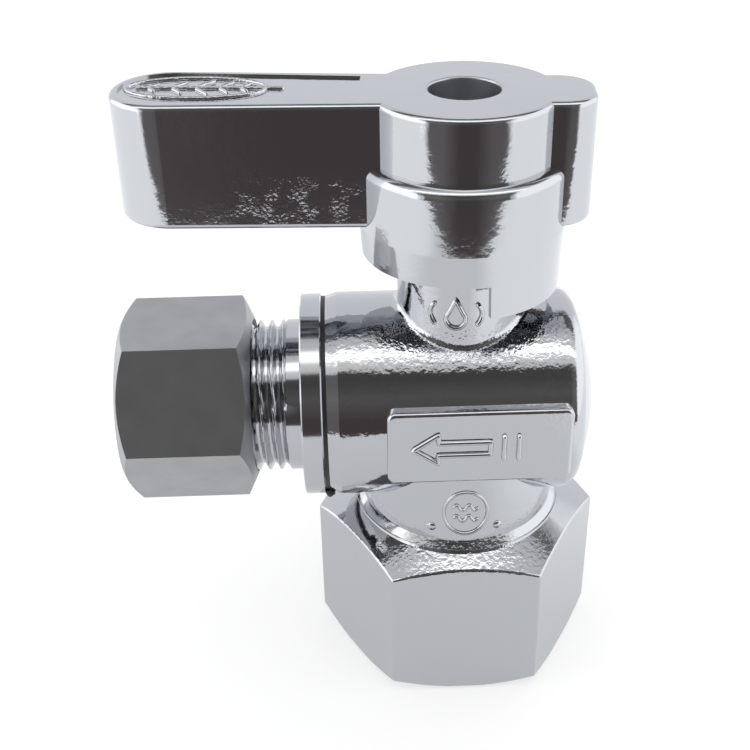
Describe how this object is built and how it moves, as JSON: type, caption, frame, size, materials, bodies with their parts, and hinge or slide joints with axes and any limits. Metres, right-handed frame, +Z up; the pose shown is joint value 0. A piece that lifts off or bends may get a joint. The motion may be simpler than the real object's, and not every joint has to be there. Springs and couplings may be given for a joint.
{
  "type": "angle stop valve",
  "caption": "Quarter-turn angle stop valve: lever handle, hexagonal female pipe inlet below, compression tube outlet at the side, chrome plated.",
  "frame": {"origin": "centre of the inlet's mouth, on the flat end of the inlet hexagon, on the stem's axis", "axes": "+Z up the inlet and stem axis, -X out of the outlet, -Y towards the side with the marking pad"},
  "size_m": [0.0448, 0.0238, 0.0562],
  "materials": {
    "forged_chrome": "bright chrome over a forged brass surface, slightly rippled",
    "machined_chrome": "bright chrome over turned and milled brass",
    "handle_chrome": "bright chrome over a zinc die casting",
    "bare_brass": "turned, plain",
    "chromed_ball": "polished",
    "ptfe": "white, waxy",
    "black_rubber": "matt nitrile",
    "screw_steel": "plain stainless"
  },
  "bodies": {
    "valve_body": {"valve_body": "forged_chrome", "outlet_adapter": "machined_chrome", "adapter_seal": "black_rubber", "adapter_o_ring": "black_rubber", "outlet_seat": "ptfe", "rear_seat": "ptfe"},
    "handle": {"handle": "handle_chrome", "stem": "bare_brass", "stem_thrust_washer": "ptfe", "stem_o_ring_lower": "black_rubber", "stem_o_ring_upper": "black_rubber", "handle_screw": "screw_steel", "handle_screw_washer": "screw_steel", "ball": "chromed_ball"},
    "ferrule": {"ferrule": "bare_brass"},
    "compression_nut": {"compression_nut": "machined_chrome"}
  },
  "joints": [
    {"name": "handle_turn", "type": "hinge", "parent": "valve_body", "child": "handle", "pos_m": [0, 0, 0.045], "axis": [0, 0, 1], "range_deg": [-85.2, 4.8]},
    {"name": "ferrule_travel", "type": "slide", "parent": "valve_body", "child": "ferrule", "axis": [1, 0, 0], "range_m": [-0.00636, 0.00027]},
    {"name": "nut_turn", "type": "hinge", "parent": "ferrule", "child": "compression_nut", "pos_m": [-0.025, 0, 0.027], "axis": [1, 0, 0], "range_deg": [-2160, 90]}
  ],
  "couplings": [
    {"joint": "ferrule_travel", "follows": "nut_turn", "m_per_rad": 0.00016844}
  ]
}
